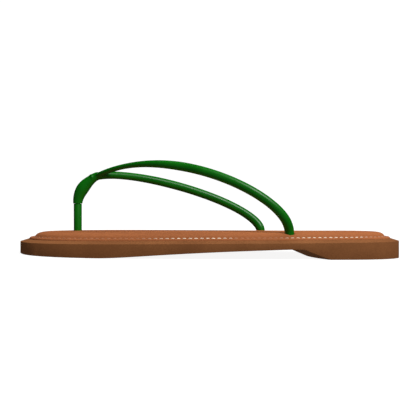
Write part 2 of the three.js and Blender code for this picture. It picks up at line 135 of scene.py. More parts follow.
FLOOR_PAPER = 0.15  # share of the light falling on the floor that it gives back
GLOW_NEAR = 150 * MM  # the floor's glow is weakest up to here
GLOW_FAR = 600 * MM  # and full from here on
MIRRORED_SKY = 0.2  # share of the surrounding light that shows in reflections
FLOOR_LIGHT = 2.2  # light from below the horizon, as a share of the light from above
SKY_EDGE = 0.1  # softness of the horizon
FLOOR_SIZE = 6
BACKDROP_HEIGHT = 3
BACKDROP_CURVE = 1.2
KEY_SPOT = (0.74, -0.79, 1.18)
KEY_SIZE = 0.5
TOP_SPOT = (-0.15, 0.53, 1.5)
TOP_SIZE = 0.9


# ---- Sizes and colours that a user can change ----


def length(name, description, millimetres):
    """A size in the scene's length unit."""
    return FloatProperty(
        name=name,
        description=description,
        default=millimetres * MM,
        unit="LENGTH",
        subtype="DISTANCE",
        precision=4,
    )


def colour(name, description, red, green, blue):
    """A colour, from the three display values of 0 to 255."""
    return FloatVectorProperty(
        name=name,
        description=description,
        default=[linear(value / 255) for value in (red, green, blue)],
        size=3,
        min=0,
        max=1,
        subtype="COLOR",
    )


def linear(value):
    """A display value as scene-linear light."""
    return value / 12.92 if value <= 0.04045 else ((value + 0.055) / 1.055) ** 2.4


class SoleSizes(PropertyGroup):
    length: length("Length", "Toe tip to heel tip", 263.5)
    ball_width: length("Ball width", "Widest place of the sole", 85.5)
    ball_shift: length("Ball shift", "Middle of the ball, towards the inner side", -0.75)
    heel_width: length("Heel width", "Width at the end of the heel's straight sides", 60.6)
    toe_shift: length("Toe shift", "Toe tip, towards the inner side", 6)
    ball_from_toe: length("Ball from toe", "Toe tip to the widest place", 67)
    heel_side: length("Heel side", "Heel tip to the end of the heel's straight sides", 44)
    heel_height: length("Heel height", "Ground to the wall's top edge at the heel", 11.4)
    ball_height: length("Forefoot height", "Ground to the wall's top edge at the ball", 8.65)
    heel_contact: length("Heel contact", "Heel tip to where its height is taken", 15)
    ball_contact: length("Ball contact", "Toe tip to where its height is taken", 52)
    toe_spring: length("Toe spring", "Lift of the toe tip", 0.5)
    toe_spring_run: length("Toe spring run", "Length of the lifted tip", 20)
    arch_from_toe: length("Arch from toe", "Where the underside leaves the ground", 60)
    arch_from_back: length("Arch from back", "Where the arch meets the heel", 77)
    arch_height: length("Arch height", "Ground to underside just before the heel", 6.5)
    heel_tread: length("Heel tread", "Heel tip to the front of its ground face", 64.5)
    breast_radius: length("Heel front radius", "Bulge of the heel's front face", 51)
    breast_run: length("Heel front run", "How far the heel's front face slopes forward", 16)
    rim_run: length("Rim run", "Width of the sloping rim", 5)
    rim_rise: length("Rim rise", "Height of the sloping rim", 1.5)
    rim_land: length("Rim land", "Flat strip inside the rim", 0.4)
    seat_depth: length("Seat depth", "Depth of the footbed's seat", 2)
    groove_pitch: length("Tread pitch", "From one tread groove to the next", 5.5)
    groove_width: length("Tread groove width", "Width of each groove", 1.7)
    groove_depth: length("Tread groove depth", "Depth of each groove", 0.8)
    groove_margin: length("Tread margin", "Plain border round the tread", 8)


class FootbedSizes(PropertyGroup):
    skin: length("Skin", "Thickness of the cover", 0.8)
    board: length("Board", "Thickness of the stiff board", 2)
    pad: length("Pad", "Thickness of the foam", 2.9)
    flange_width: length("Flange width", "Flat stitched edge of the cover", 3.9)
    flange_edge: length("Flange edge", "Rounding of the flange", 1.1)
    mound_run: length("Mound edge", "Rounded edge of the padded middle, inward", 6.5)
    crown: length("Crown", "How far the middle of the pad stands proud", 0.7)
    dimple: length("Dimple", "How far the cover is drawn down round the strap", 0.45)
    stitch_line: length("Stitch line", "Stitches to the foot of the mound", 1)
    stitch_pitch: length("Stitch pitch", "From one stitch to the next", 3.7)
    stitch_length: length("Stitch length", "Thread seen between two needle holes", 2.5)
    thread: length("Thread", "Diameter of the thread", 0.72)
    seam_depth: length("Seam depth", "How far the thread draws the cover down", 0.25)
    voxel: length("Fineness", "Size of the cover's surface cells", 0.7)


class StrapSizes(PropertyGroup):
    post_from_toe: length("Post from toe", "Toe tip to the toe post", 37.9)
    post_shift: length("Post shift", "Toe post, towards the inner side", 3.3)
    post_diameter: length("Post diameter", "Straight toe post", 5.6)
    post_height: length("Post height", "Footbed to the lower end of the nose", 19.6)
    spigot_shoulder: length("Spigot shoulder", "Step from the post in to its spigot", 1.1)
    spigot: length("Spigot", "Length of the post inside the nose", 4)
    nose_lip: length("Nose lip", "How far the nose stands out round the post", 0.3)
    nose_diameter: length("Nose diameter", "Thickest place of the nose", 8.6)
    nose_split: length("Split diameter", "Nose where the legs part", 5.8)
    leg_diameter: length("Leg diameter", "Each leg where it is round", 6)
    leg_root: length("Leg root", "Width of a leg inside the nose", 4.8)
    fork: length("Fork", "Webbing between the legs where they part", 9)
    foot_flare: length("Foot flare", "How much each leg swells just above the footbed", 0.3)
    outer_front: length("Outer leg front", "Thickness of the outer leg next to the nose", 3)
    inner_front: length("Inner leg front", "Thickness of the inner leg next to the nose", 5.2)
    outer_from_back: length("Outer leg from back", "Heel tip to the outer leg", 78.8)
    inner_from_back: length("Inner leg from back", "Heel tip to the inner leg", 94.2)
    outer_from_edge: length("Outer leg from edge", "Outer edge to the outer leg", 15.5)
    inner_from_edge: length("Inner leg from edge", "Inner edge to the inner leg", 13.5)
    ankle_height: length("Ankle height", "Footbed to the bend into the upright stem", 2.2)
    plug_diameter: length("Plug diameter", "Button under the sole", 13)
    plug_thickness: length("Plug thickness", "Button under the sole", 1.8)
    web: length("Web", "Rubber between the seat and the plugs in the arch", 1.6)
    sides: IntProperty(name="Sides", description="Faces round the strap", default=32, min=8, max=64)
    steps: IntProperty(name="Steps", description="Rings along a leg", default=120, min=20, max=300)
    voxel: length("Fineness", "Size of the strap's surface cells", 0.4)


class Finishes(PropertyGroup):
    sole: colour("Sole", "Moulded sole", 127, 81, 48)
    sole_dark: colour("Sole shade", "Darker patches of the sole", 115, 72, 42)
    leather: colour("Footbed", "Cover of the footbed", 157, 95, 58)
    leather_dark: colour("Footbed shade", "Darker patches of the cover", 144, 86, 52)
    # Colour of the painted shade in the sunk seam, the needle holes and the grain's creases.
    seam: colour("Seam", "Cover along the stitches", 132, 79, 47)
    thread: colour("Thread", "Stitches", 240, 228, 206)
    thread_worn: colour("Worn thread", "Stitches where the foot rubs them", 158, 101, 65)
    strap: colour("Strap", "Strap and toe post", 5, 102, 4)
    strap_dark: colour("Strap shade", "Darker streaks of the strap", 3, 90, 3)
    plug: colour("Plugs", "Buttons under the sole", 51, 33, 26)
    board: colour("Board", "Stiff board inside the footbed", 141, 129, 114)
    foam: colour("Foam", "Pad inside the footbed", 230, 220, 194)
    floor: colour("Floor", "Studio floor", 250, 250, 250)


class Studio(PropertyGroup):
    distance: length("Camera distance", "From the middle of the sole", 357)
    eye: length("Camera height", "Above the wall's top edge", 21.15)
    aside: length("Camera offset", "From the middle of the sole, towards the heel", 0.1)
    field: FloatProperty(
        name="Field of view",
        description="Angle that the camera sees",
        default=2 * math.atan(210 / 507),
        subtype="ANGLE",
        unit="ROTATION",
    )
    key: FloatProperty(name="Key light", description="Power of the main light", default=27, unit="POWER")
    top: FloatProperty(name="Top light", description="Power of the light above", default=17, unit="POWER")
    sky: FloatProperty(name="Sky", description="Strength of the surrounding light", default=0.17, min=0)
    glow: FloatProperty(
        name="Floor glow",
        description="Light of the floor near the sandal",
        default=0.9,
        min=0,
    )


# ---- Heights and distances that follow from the sizes ----


def seat_z(sole):
    return sole.rim_rise - sole.seat_depth


def board_bottom(sole):
    return seat_z(sole) + CLEARANCE


def board_top(sole, bed):
    return board_bottom(sole) + bed.board


def flange_top(sole, bed):
    return board_top(sole, bed) + CLEARANCE + bed.skin


def footbed_top(sole, bed):
    return board_top(sole, bed) + CLEARANCE + bed.pad + CLEARANCE + bed.skin


def flange_inset(sole):
    return sole.rim_run + sole.rim_land + CLEARANCE


def mound_inset(sole, bed):
    return flange_inset(sole) + bed.flange_width


def stitch_inset(sole, bed):
    return mound_inset(sole, bed) - bed.stitch_line


def ground_slope(sole):
    run = sole.length - sole.heel_contact - sole.ball_contact
    return (sole.heel_height - sole.ball_height) / run


def ground_at_middle(sole):
    return -sole.heel_height + (sole.length / 2 - sole.heel_contact) * ground_slope(sole)


def ground_z(sole, x):
    return ground_at_middle(sole) - x * ground_slope(sole)


def standing(sole):
    """The matrix that stands the sandal on level ground, centred on the frame's origin."""
    tilt = math.atan(ground_slope(sole))
    lift = -ground_at_middle(sole) * math.cos(tilt)
    turned = Matrix.Rotation(-tilt, 4, "Y")
    corners = [turned @ Vector((point.x, point.y, 0)) for point in sole_outline(sole)]
    wide = [corner.y for corner in corners]
    heel_low = turned @ Vector((sole.length / 2, 0, -sole.heel_height / 2))
    middle_x = (min(corner.x for corner in corners) + heel_low.x) / 2
    middle_y = (min(wide) + max(wide)) / 2
    return Matrix.Translation((-middle_x, -middle_y, lift)) @ turned


# ---- Outlines and routes ----


def bezier(start, pull_out, pull_in, end):
    """Points of one curve, without its last."""
    return geometry.interpolate_bezier(start, pull_out, pull_in, end, BEZIER_POINTS)[:-1]


def evenly(points, count, closed=False):
    """The same line with points at even distances."""
    line = np.array([tuple(point) for point in points])
    if closed:
        line = np.vstack([line, line[:1]])
    steps = np.linalg.norm(np.diff(line, axis=0), axis=1)
    along = np.concatenate([[0], np.cumsum(steps)])
    wanted = np.linspace(0, along[-1], count + 1 if closed else count)[:count]
    columns = [np.interp(wanted, along, line[:, axis]) for axis in range(line.shape[1])]
    return [Vector(values) for values in zip(*columns)]


def sole_outline(sole):
    """One smooth closed curve, counter-clockwise from the toe tip by way of the outer side."""
    toe, heel = -sole.length / 2, sole.length / 2
    outer = sole.ball_shift - sole.ball_width / 2
    inner = sole.ball_shift + sole.ball_width / 2
    half = sole.heel_width / 2
    ball = toe + sole.ball_from_toe
    side = heel - sole.heel_side
    outer_toe = OUTER_TOE_CORNER * sole.ball_width / 2
    inner_toe = INNER_TOE_CORNER * sole.ball_width / 2
    outer_heel = OUTER_HEEL_CORNER * half
    inner_heel = INNER_HEEL_CORNER * half
    outer_reach = (sole.heel_side - outer_heel.x) * OUTER_HEEL_SLOPE
    inner_reach = (sole.heel_side - inner_heel.x) * INNER_HEEL_SLOPE
    knots = [
        [(toe, sole.toe_shift), (toe, outer + outer_toe.y),
         (toe + outer_toe.x, outer), (ball, outer)],
        [(ball, outer), (ball + OUTER_BALL_PULL, outer),
         (side - OUTER_HEEL_PULL, -half - OUTER_HEEL_PULL * OUTER_HEEL_SLOPE), (side, -half)],
        [(side, -half), (heel - outer_heel.x, -half + outer_reach),
         (heel, -half + outer_heel.y), (heel, 0)],
        [(heel, 0), (heel, half - inner_heel.y),
         (heel - inner_heel.x, half + inner_reach), (side, half)],
        [(side, half), (side - INNER_HEEL_PULL, half - INNER_HEEL_PULL * INNER_HEEL_SLOPE),
         (ball + INNER_BALL_PULL, inner), (ball, inner)],
        [(ball, inner), (toe + inner_toe.x, inner),
         (toe, inner - inner_toe.y), (toe, sole.toe_shift)],
    ]
    fine = [point for span in knots for point in bezier(*[Vector(knot) for knot in span])]
    return evenly(fine, OUTLINE_POINTS, closed=True)


def inward(outline, distance):
    """A closed outline moved inward."""
    moved = []
    for index, point in enumerate(outline):
        along = (outline[(index + 1) % len(outline)] - outline[index - 1]).normalized()
        moved.append(Vector((point.x - along.y * distance, point.y + along.x * distance)))
    return moved


def edge_y(outline, x, side):
    """Where the outline crosses x, on the outer (-1) or inner (+1) side."""
    near = sorted((point for point in outline if point.y * side > 0), key=lambda point: abs(point.x - x))
    first, second = near[0], near[1]
    return first.y + (x - first.x) / (second.x - first.x) * (second.y - first.y)


def circle(radius, count):
    """Points of a circle, counter-clockwise."""
    turns = [2 * math.pi * index / count for index in range(count)]
    return [Vector((radius * math.cos(turn), radius * math.sin(turn))) for turn in turns]


def footholds(sole, strap):
    """Where the post, the outer leg and the inner leg go through the sole, and their plugs' tops."""
    outline = sole_outline(sole)
    post = Vector((-sole.length / 2 + strap.post_from_toe, strap.post_shift))
    outer_x = sole.length / 2 - strap.outer_from_back
    inner_x = sole.length / 2 - strap.inner_from_back
    outer = Vector((outer_x, edge_y(outline, outer_x, -1) + strap.outer_from_edge))
    inner = Vector((inner_x, edge_y(outline, inner_x, 1) - strap.inner_from_edge))
    toe_top = ground_z(sole, post.x) + 2 * CLEARANCE + strap.plug_thickness
    arch_top = seat_z(sole) - strap.web
    return {
        "toe": (post, toe_top, strap.post_diameter),
        "outer": (outer, arch_top, strap.leg_diameter),
        "inner": (inner, arch_top, strap.leg_diameter),
    }


def plug_bottom(strap, recess_top):
    return recess_top - CLEARANCE - strap.plug_thickness


def nose_ends(sole, bed, strap):
    """Lower end of the nose, and the place where its legs part."""
    x = -sole.length / 2 + strap.post_from_toe
    z = footbed_top(sole, bed) + strap.post_height + CLEARANCE / 2
    low = Vector((x, strap.post_shift, z))
    return low, low + NOSE_FORWARD


def leg_route(sole, bed, strap, hold, leaves, arrives):
    """From inside the nose, over the foot, into the upright stem that ends in its plug."""
    place, recess_top, _ = hold
    split = nose_ends(sole, bed, strap)[1]
    footing = Vector((place.x, place.y, footbed_top(sole, bed)))
    ankle = footing + Vector((0, 0, strap.ankle_height))
    pull = footing + arrives
    above = ankle + (pull - ankle).normalized() * ANKLE_BEND
    end = Vector((place.x, place.y, plug_bottom(strap, recess_top)))
    root = split - leaves.normalized() * LEG_ROOT
    bend_out = above.lerp(ankle, 2 / 3)
    bend_in = footing.lerp(ankle, 2 / 3)
    points = [root]
    points += bezier(split, split + leaves, pull, above)
    points += bezier(above, bend_out, bend_in, footing)
    return points + [footing, end]


# ---- Modelling by hand, in code ----


def bare():
    """Leave edit mode with nothing selected."""
    if bpy.context.object and bpy.context.object.mode != "OBJECT":
        bpy.ops.object.mode_set(mode="OBJECT")
    bpy.ops.object.select_all(action="DESELECT")


def only(piece):
    """Make one piece the only selected and the active one."""
    bare()
    piece.select_set(True)
    bpy.context.view_layer.objects.active = piece


def named(name):
    """Name the object that an operator has just added."""
    piece = bpy.context.object
    piece.name = name
    piece.data.name = name
    return piece


def start_plate(name, outline, z=0):
    """A flat face with the given outline, left in edit mode and selected."""
    bare()
    bpy.ops.mesh.primitive_circle_add(vertices=len(outline), fill_type="NGON")
    piece = named(name)
    for vertex, point in zip(piece.data.vertices, outline):
        vertex.co = (point.x, point.y, z)
    piece.data.update()
    bpy.ops.object.mode_set(mode="EDIT")
    bpy.ops.mesh.select_mode(type="FACE")
    bpy.ops.mesh.select_all(action="SELECT")
    if piece.data.polygons[0].normal.z < 0:
        bpy.ops.mesh.flip_normals()
    return piece


def climb(*steps):
    """Carry the selected top face on. Each step goes inward by its first size and up by its second."""
    for inside, up in steps:
        if inside:
            bpy.ops.mesh.inset(thickness=inside, depth=up, use_even_offset=True)
        else:
            bpy.ops.mesh.extrude_region_move(TRANSFORM_OT_translate={"value": (0, 0, up)})


def rounded(run, rise, count):
    """Steps over a quarter of an ellipse that starts upright and ends level."""
    turns = [math.pi / 2 * index / count for index in range(count + 1)]
    places = [(run * (1 - math.cos(turn)), rise * math.sin(turn)) for turn in turns]
    return [(b[0] - a[0], b[1] - a[1]) for a, b in zip(places, places[1:])]


def close_shell(piece):
    """Merge what lies together and turn every face outward."""
    only(piece)
    bpy.ops.object.mode_set(mode="EDIT")
    bpy.ops.mesh.select_all(action="SELECT")
    bpy.ops.mesh.remove_doubles(threshold=SAME_PLACE)
    bpy.ops.mesh.normals_make_consistent(inside=False)
    bpy.ops.object.mode_set(mode="OBJECT")


def place(piece, matrix):
    """Move a piece's mesh, and leave its object at the origin."""
    only(piece)
    piece.matrix_world = matrix
    bpy.ops.object.transform_apply(location=True, rotation=True, scale=True)


def apply_modifier(piece, kind, **values):
    """Add one modifier with its values and apply it."""
    modifier = piece.modifiers.new(kind.lower(), kind)
    for key, value in values.items():
        setattr(modifier, key, value)
    only(piece)
    bpy.ops.object.modifier_apply(modifier=modifier.name)


def combine(piece, tool, operation="DIFFERENCE"):
    """Cut, join or intersect a piece with a tool, which is used up."""
    apply_modifier(piece, "BOOLEAN", operation=operation, object=tool, solver="EXACT")
    bpy.data.objects.remove(tool, do_unlink=True)


def rod(name, centre, radius, low, high, sides=48):
    """A plain round tool for cutting."""
    piece = start_plate(name, circle(radius, sides), low)
    climb((0, high - low))
    close_shell(piece)
    place(piece, Matrix.Translation((centre.x, centre.y, 0)))
    return piece


def join(name, pieces):
    """Make several pieces one."""
    bare()
    for piece in pieces:
        piece.select_set(True)
    bpy.context.view_layer.objects.active = pieces[0]
    bpy.ops.object.join()
    return named(name)


def moved_by(piece, move):
    """Move each vertex by what a function of all places gives."""
    mesh = piece.data
    places = np.empty(len(mesh.vertices) * 3)
    mesh.vertices.foreach_get("co", places)
    places = places.reshape(-1, 3)
    places += move(places.copy())
    mesh.vertices.foreach_set("co", places.ravel())
    mesh.update()


def nearest(points, places):
    """Distance from each place to the nearest of some points, seen from above."""
    tree = kdtree.KDTree(len(points))
    for index, point in enumerate(points):
        tree.insert((point.x, point.y, 0), index)
    tree.balance()
    return np.array([tree.find((x, y, 0))[2] for x, y, _ in places])


def smooth_share(values, low, high):
    """0 below low and 1 above high, with a smooth rise between."""
    share = np.clip((values - low) / (high - low), 0, 1)
    return share * share * (3 - 2 * share)


def hill(distances, width):
    """1 at no distance, falling softly to nothing over about twice the width."""
    return np.exp(-((distances / width) ** 2))


def hand_over(piece, material, slot, *nodes):
    """Give a finished piece its material and its body, and hide the CAD nodes that it stands for."""
    piece.data.materials.clear()
    piece.data.materials.append(material)
    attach(piece, "root")
    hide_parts(*nodes)


# ---- Outsole ----


def sole_block(sole):
    """The sole's outline from below the ground up to the seat of the footbed."""
    low = -sole.heel_height - OVERRUN
    edge = RIM_EDGE
    block = start_plate("moulded_sole", sole_outline(sole), low)
    climb((0, -low - edge), *rounded(edge, edge, 3))
    climb((sole.rim_run - 2 * edge, sole.rim_rise - edge / 3), (edge, edge / 3))
    climb((sole.rim_land, 0), (0, -sole.seat_depth))
    close_shell(block)
    return block


def trim_to_ground(block):
    only(block)
    bpy.ops.object.mode_set(mode="EDIT")
    bpy.ops.mesh.select_all(action="SELECT")
    bpy.ops.mesh.bisect(plane_co=(0, 0, 0), plane_no=(0, 0, 1), clear_inner=True, use_fill=True)
    bpy.ops.object.mode_set(mode="OBJECT")


def arch_line(sole):
    """Side view of the underside from where it leaves the ground to the heel."""
    start = -sole.length / 2 + sole.arch_from_toe
    end = sole.length / 2 - sole.arch_from_back
    span = end - start
    pull_out = Vector((start + span * ARCH_START_SHARE, 0))
    pull_in = Vector((start + span * ARCH_RISE_SHARE.x, sole.arch_height * ARCH_RISE_SHARE.y))
    points = bezier(Vector((start, 0)), pull_out, pull_in, Vector((end, sole.arch_height)))
    return points[::ARCH_SKIP] + [Vector((end, sole.arch_height))]


def air_below(sole):
    """What is cut away under the toe tip, the arch and the heel, across the whole width."""
    toe, heel = -sole.length / 2, sole.length / 2
    spring_end = toe + sole.toe_spring_run
    spring = [Vector((toe - OVERRUN, sole.toe_spring)), Vector((toe, sole.toe_spring))]
    pulled = Vector((toe + sole.toe_spring_run / 2, sole.toe_spring * SPRING_PULL))
    spring += [pulled, Vector((spring_end, 0)), Vector((spring_end + MM, -MM))]
    arch = arch_line(sole)
    side = spring + [Vector((arch[0].x - MM, -MM))] + arch
    under = -2 * MM
    side += [Vector((heel + OVERRUN, sole.arch_height)), Vector((heel + OVERRUN, under))]
    side += [Vector((toe - OVERRUN, under))]
    air = start_plate("air", side, -sole.ball_width)
    climb((0, 2 * sole.ball_width))
    close_shell(air)
    place(air, Matrix.Rotation(math.pi / 2, 4, "X"))
    combine(air, heel_cone(sole))
    return air


def heel_cone(sole):
    """The heel block is part of a cone, so that its front face slopes and bulges forward."""
    past = 3 * MM
    low, high = -past, sole.arch_height + past
    slope = sole.breast_run / sole.arch_height
    bare()
    bpy.ops.mesh.primitive_cone_add(
        vertices=160,
        radius1=sole.breast_radius + slope * low,
        radius2=sole.breast_radius + slope * high,
        depth=high - low,
        location=(sole.length / 2 - sole.heel_tread + sole.breast_radius, 0, (low + high) / 2),
    )
    cone = named("heel_cone")
    place(cone, cone.matrix_world.copy())
    return cone


def tread_bar(x, z, sole):
    """One groove's cutting bar, across the sole."""
    bare()
    bpy.ops.mesh.primitive_cube_add(size=1, location=(x, 0, z))
    bar = named("bar")
    bar.scale = (sole.groove_width, sole.ball_width, 2 * sole.groove_depth)
    bpy.ops.object.transform_apply(location=True, rotation=True, scale=True)
    return bar


def tread_tool(sole):
    """Cutting bars for the grooves under the ball and the heel, inside a plain border."""
    start = -sole.length / 2 + sole.groove_margin + sole.groove_pitch
    arch = arch_line(sole)
    heights = np.array([[point.x, point.y] for point in arch])
    ball_end = arch[0].x + GROOVES_PAST_ARCH * sole.groove_pitch
    heel_start = sole.length / 2 - sole.heel_tread + sole.groove_margin
    heel_end = sole.length / 2 - sole.groove_margin
    bars = []
    for x in np.arange(start, ball_end, sole.groove_pitch):
        bars.append(tread_bar(x, float(np.interp(x, heights[:, 0], heights[:, 1])), sole))
    for x in np.arange(heel_start, heel_end, sole.groove_pitch):
        bars.append(tread_bar(x, 0, sole))
    tool = join("tread_tool", bars)
    border = start_plate("border", inward(sole_outline(sole), sole.groove_margin), -OVERRUN)
    climb((0, 3 * OVERRUN))
    close_shell(border)
    combine(tool, border, "INTERSECT")
    return tool


def model_outsole(sole, strap):
    """The moulded sole: wall, rim, seat, arch, heel, tread, and the plugs' recesses."""
    block = sole_block(sole)
    upright = standing(sole)
    place(block, upright)
    trim_to_ground(block)
    combine(block, air_below(sole))
    combine(block, tread_tool(sole))
    for name, (spot, recess_top, diameter) in footholds(sole, strap).items():
        low = -sole.heel_height - 2 * OVERRUN
        recess = rod(name, spot, strap.plug_diameter / 2 + CLEARANCE, low, recess_top)
        hole = rod(name, spot, diameter / 2 + CLEARANCE, low, 2 * OVERRUN)
        for tool in (recess, hole):
            place(tool, upright)
            combine(block, tool)
    sharp = math.radians(40)
    apply_modifier(
        block, "BEVEL", width=MOULD_EDGE, segments=2, limit_method="ANGLE", angle_limit=sharp
    )
    return block


# ---- Footbed ----


def model_cover(sole, bed, strap):
    """The skin: a stitched flange and a soft mound over the foam, drawn down at strap and stitches."""
    outline = sole_outline(sole)
    cover = start_plate("leather_cover", inward(outline, flange_inset(sole)), board_bottom(sole))
    wall = flange_top(sole, bed) - board_bottom(sole) - bed.flange_edge
    climb((0, wall), *rounded(bed.flange_edge, bed.flange_edge, 3))
    climb((bed.flange_width - bed.flange_edge, 0), (0, CLEARANCE))
    rise = footbed_top(sole, bed) - flange_top(sole, bed) - CLEARANCE
    climb(*rounded(bed.mound_run, rise, 10))
    close_shell(cover)
    for name, (spot, _, diameter) in footholds(sole, strap).items():
        combine(cover, rod(name, spot, diameter / 2 + CLEARANCE, -OVERRUN, 3 * OVERRUN))
    apply_modifier(cover, "REMESH", mode="VOXEL", voxel_size=bed.voxel)
    apply_modifier(cover, "SMOOTH", factor=0.5, iterations=3)
    shape_cover(cover, sole, bed, strap)
    open_underneath(cover, sole, bed, strap)
    apply_modifier(cover, "SOLIDIFY", thickness=bed.skin * COVER_SHARE, offset=-1)
    place(cover, standing(sole))
    return cover


def shape_cover(cover, sole, bed, strap):
    """Crown the middle, sink the seam and the needle holes, and draw the skin down round the strap."""
    outline = evenly(sole_outline(sole), 8 * OUTLINE_POINTS, closed=True)
    needle_holes = [end for stitch in stitches(sole, bed) for end in stitch[2:]]
    spots = [(hold[0], hold[2] / 2) for hold in footholds(sole, strap).values()]
    seam_line = stitch_inset(sole, bed)
    bottom, level = board_bottom(sole), flange_top(sole, bed)

    def move(places):
        depth = nearest(outline, places)
        needle = nearest(needle_holes, places)
        above = smooth_share(places[:, 2], bottom, level)
        inside = depth - mound_inset(sole, bed)
        lift = bed.crown * smooth_share(inside, bed.mound_run * CROWN_START, CROWN_END * bed.mound_run)
        seam = hill(depth - seam_line, SEAM_WIDTH)
        lift -= bed.seam_depth * seam * (places[:, 2] < level + MM)
        lift -= bed.seam_depth * hill(needle, NEEDLE_WIDTH)
        lift -= PUCKER_DEPTH * hill(needle, PUCKER_WIDTH)
        for spot, radius in spots:
            away = np.hypot(places[:, 0] - spot.x, places[:, 1] - spot.y) - radius
            lift -= bed.dimple * hill(away, DIMPLE_WIDTH)
        # The sunk seam and the needle holes are stored as painted shade, for the cover's colour to darken
        # them.
        store(cover, "seam", np.clip(seam * SEAM_SHADE + hill(needle, NEEDLE_SHADE_WIDTH), 0, 1))
        return np.column_stack([0 * lift, 0 * lift, lift * above])

    moved_by(cover, move)


def store(piece, name, values):
    """Keep a value for each vertex, for the material to read."""
    attribute = piece.data.attributes.new(name, "FLOAT", "POINT")
    attribute.data.foreach_set("value", values.astype(np.float32))


def open_underneath(cover, sole, bed, strap):
    """Take away the faces that look down, and the walls of the strap's holes below the skin."""
    lowest = board_bottom(sole) + bed.voxel
    skin_bottom = footbed_top(sole, bed) - bed.skin
    beyond = CLEARANCE + bed.voxel
    holes = [(hold[0], hold[2] / 2 + beyond) for hold in footholds(sole, strap).values()]
    only(cover)
    bpy.ops.object.mode_set(mode="EDIT")
    bpy.ops.mesh.select_mode(type="FACE")
    bpy.ops.mesh.select_all(action="DESELECT")
    bpy.ops.object.mode_set(mode="OBJECT")
    for face in cover.data.polygons:
        beneath = face.normal.z < -0.5 and face.center.z < lowest
        near_hole = any((face.center.xy - spot).length < radius for spot, radius in holes)
        face.select = beneath or (near_hole and face.center.z < skin_bottom)
    bpy.ops.object.mode_set(mode="EDIT")
    bpy.ops.mesh.delete(type="FACE")
    bpy.ops.object.mode_set(mode="OBJECT")


def model_pad(sole, bed, strap):
    """The foam between the board and the skin."""
    inset = mound_inset(sole, bed) + bed.skin + CLEARANCE
    bottom = board_top(sole, bed) + CLEARANCE
    pad = start_plate("foam_pad", inward(sole_outline(sole), inset), bottom)
    climb((0, CLEARANCE), *rounded(bed.mound_run, bed.pad - CLEARANCE, 8))
    close_shell(pad)
    for name, (spot, _, diameter) in footholds(sole, strap).items():
        combine(pad, rod(name, spot, diameter / 2 + CLEARANCE, -OVERRUN, 3 * OVERRUN))
    place(pad, standing(sole))
    return pad


def stitches(sole, bed):
    """Each stitch's middle, direction and two needle holes, seen from above."""
    line = inward(sole_outline(sole), stitch_inset(sole, bed))
    around = sum((line[index] - line[index - 1]).length for index in range(len(line)))
    count = round(around / bed.stitch_pitch)
    middles = evenly(line, count, closed=True)
    found = []
    for index, middle in enumerate(middles):
        along = (middles[(index + 1) % count] - middles[index - 1]).normalized()
        reach = along * bed.stitch_length / 2
        found.append((middle, along, middle - reach, middle + reach))
    return found


def first_stitch(bed):
    """One short length of thread along X, with its ends dipping into the needle holes."""
    bare()
    bpy.ops.mesh.primitive_uv_sphere_add(segments=8, ring_count=7, radius=1)
    stitch = named("stitch")
    place(stitch, Matrix.Rotation(math.pi / 2, 4, "Y"))
    for vertex in stitch.data.vertices:
        along = math.copysign(abs(vertex.co.x) ** STITCH_FULLNESS, vertex.co.x)
        dip = STITCH_DIP * abs(along) ** 3
        vertex.co.x = along * bed.stitch_length / 2
        vertex.co.y *= bed.thread / 2
        vertex.co.z = (vertex.co.z - dip) * bed.thread / 2
    return stitch


def model_stitches(sole, bed):
    """Copies of the first stitch all the way round the flange."""
    pattern = first_stitch(bed)
    height = flange_top(sole, bed)
    copies = []
    for middle, along, _, _ in stitches(sole, bed):
        only(pattern)
        bpy.ops.object.duplicate()
        copy = bpy.context.object
        turn = Matrix.Rotation(math.atan2(along.y, along.x), 4, "Z")
        place(copy, Matrix.Translation((middle.x, middle.y, height)) @ turn)
        copies.append(copy)
    bpy.data.objects.remove(pattern, do_unlink=True)
    row = join("white_stitches", copies)
    place(row, standing(sole))
    return row


# ---- Strap ----


def rings(route, steps):
    """Evenly spaced places along a route, each with two directions across it."""
    points = evenly(route, steps + 1)
    across = Vector((0, 1, 0))
    found = []
    for index, point in enumerate(points):
        ahead = points[min(index + 1, steps)] - points[max(index - 1, 0)]
        ahead.normalize()
        across = (across - ahead * across.dot(ahead)).normalized()
        found.append((point, across, ahead.cross(across)))
    return found


def roll_tube(name, route, steps, sides, reach):
    """Roll a grid into a tube along a route. reach gives its half size along X, Y and Z."""
    bare()
    bpy.ops.mesh.primitive_grid_add(x_subdivisions=sides, y_subdivisions=steps, size=2)
    tube = named(name)
    stations = rings(route, steps)
    for vertex in tube.data.vertices:
        turn = (vertex.co.x + 1) * math.pi
        index = round((vertex.co.y + 1) / 2 * steps)
        centre, across, other = stations[index]
        offset = across * math.cos(turn) + other * math.sin(turn)
        half = reach(index / steps)
        vertex.co = centre + Vector((offset.x * half.x, offset.y * half.y, offset.z * half.z))
    only(tube)
    bpy.ops.object.mode_set(mode="EDIT")
    bpy.ops.mesh.select_all(action="SELECT")
    bpy.ops.mesh.remove_doubles(threshold=SAME_PLACE)
    bpy.ops.mesh.fill_holes(sides=0)
    close_shell(tube)
    return tube


def ease(value, low, high):
    """A smooth rise from 0 at low to 1 at high."""
    share = min(max((value - low) / (high - low), 0), 1)
    return share * share * (3 - 2 * share)


def leg(name, sole, bed, strap, leaves, arrives, front):
    """A leg grows out of the nose, lies flatter over the front of the foot and ends fully round."""
    hold = footholds(sole, strap)[name]
    route = leg_route(sole, bed, strap, hold, leaves, arrives)
    root, full = strap.leg_root / 2, strap.leg_diameter / 2

    def reach(share):
        foot = strap.foot_flare / 2 * ease(share, *LEG_FLARES) * ease(1 - share, *LEG_STEM)
        wide = root + (full - root) * ease(share, *LEG_WIDENS) + foot
        thick = front / 2 + (full - front / 2) * ease(share, *LEG_ROUNDS) + foot
        return Vector((wide, wide, min(thick, wide))) + Vector((1, 1, 1)) * STRAP_LOSS

    return roll_tube(name, route, strap.steps, strap.sides, reach)


